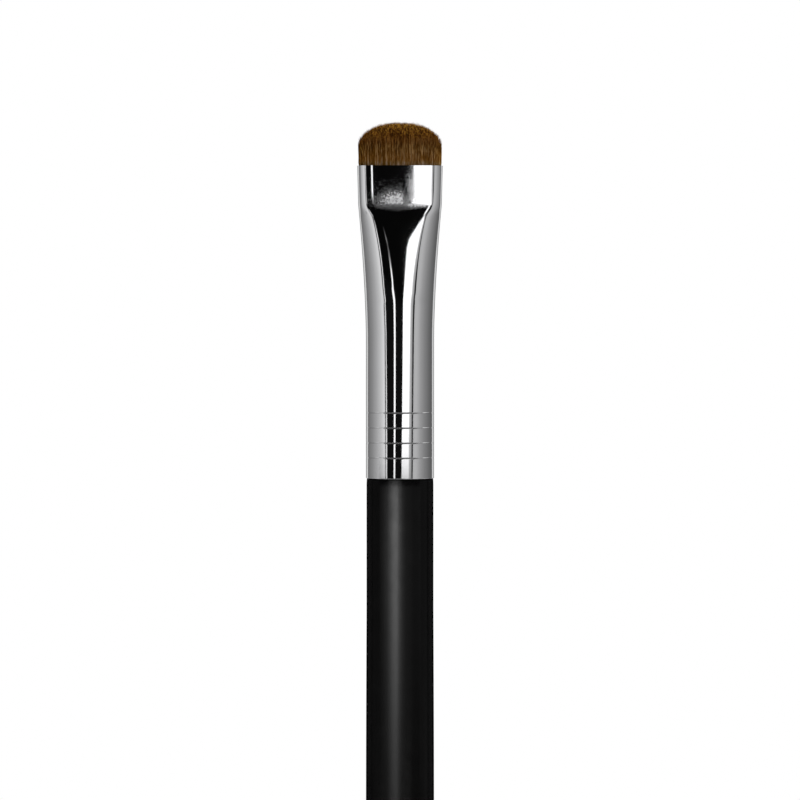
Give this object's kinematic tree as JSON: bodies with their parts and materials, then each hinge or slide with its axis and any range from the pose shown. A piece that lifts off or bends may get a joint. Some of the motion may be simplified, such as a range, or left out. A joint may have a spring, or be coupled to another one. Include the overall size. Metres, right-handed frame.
{
  "type": "eyeshadow brush",
  "caption": "Slender makeup brush: short domed tuft of hair in a pressed flat, ringed metal ferrule, on a round lacquered handle that swells gently and tapers to a rounded tail.",
  "frame": {"origin": "on the brush's axis, at the middle of the cylindrical grip band of the handle, 48 mm below the ferrule", "axes": "+Z along the brush towards the hair, +X across the wide side of the pressed mouth, -Y out of the front face"},
  "size_m": [0.01, 0.008, 0.1751],
  "materials": {
    "hair": "fine natural hair, brown with lighter tips",
    "thread": "wound thread",
    "resin": "cured casting resin",
    "ferrule_metal": "bright nickel plate on brass",
    "glue": "set glue",
    "handle_wood": "turned bare birch",
    "lacquer": "gloss black lacquer"
  },
  "bodies": {
    "root": {"bristles": "hair", "binding_thread": "thread", "root_plug": "resin", "ferrule": "ferrule_metal", "tenon_adhesive": "glue", "handle_core": "handle_wood", "handle_lacquer": "lacquer"}
  },
  "joints": []
}
